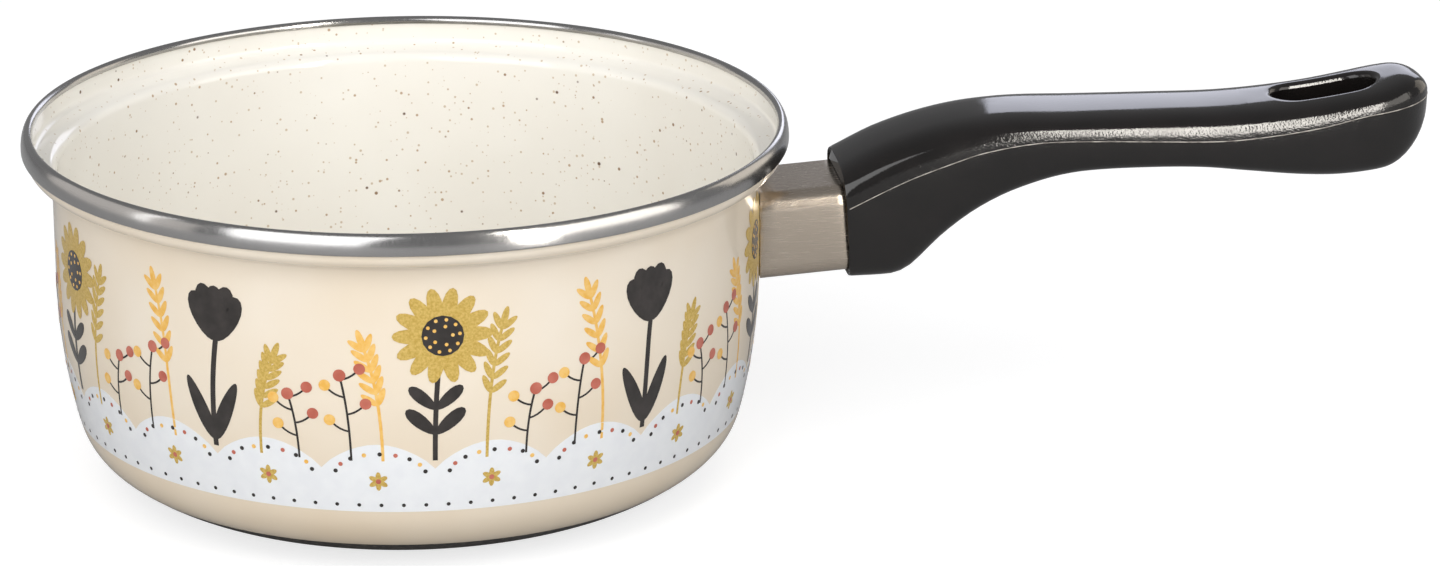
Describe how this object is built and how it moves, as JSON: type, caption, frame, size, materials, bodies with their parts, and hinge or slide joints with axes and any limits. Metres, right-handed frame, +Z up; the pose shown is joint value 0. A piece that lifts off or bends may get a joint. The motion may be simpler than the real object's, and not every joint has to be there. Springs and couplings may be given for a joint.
{
  "type": "saucepan",
  "caption": "Round enamelled steel saucepan with a rolled metal rim band, a metal sleeve at the wall and a long moulded handle with a hanging slot. It has no lid.",
  "frame": {"origin": "middle of the flat underside, on the vessel's own axis", "axes": "+Z up the vessel's axis, +X along the handle away from the vessel, +Y to the left seen from the vessel looking out along the handle"},
  "size_m": [0.3266, 0.175, 0.0872],
  "materials": {
    "pressed_steel": "low carbon deep drawing steel, pressed, covered by the enamel",
    "inner_enamel": "glossy ivory vitreous enamel with fine brown specks",
    "outer_enamel": "glossy cream vitreous enamel with a fired-on print",
    "base_enamel": "dark ground coat enamel, semi-gloss",
    "rim_band_steel": "polished stainless steel strip, rolled on",
    "bracket_steel": "zinc-plated steel, pressed and folded",
    "weld_steel": "plug welds, ground flush",
    "sleeve_steel": "stainless steel, satin polished",
    "grip_phenolic": "black phenolic moulding, semi-gloss, fine orange peel",
    "screw_steel": "bright zinc-plated steel, cold headed",
    "washer_steel": "zinc-plated spring steel, coiled and cut",
    "nut_steel": "bright zinc-plated steel, pressed"
  },
  "bodies": {
    "root": {"vessel_shell": "pressed_steel", "inner_enamel": "inner_enamel", "outer_enamel": "outer_enamel", "base_enamel": "base_enamel", "rim_band": "rim_band_steel", "handle_bracket": "bracket_steel", "bracket_welds": "weld_steel", "sleeve": "sleeve_steel", "grip": "grip_phenolic", "handle_screw": "screw_steel", "spring_washer": "washer_steel", "square_nut": "nut_steel"}
  },
  "joints": []
}
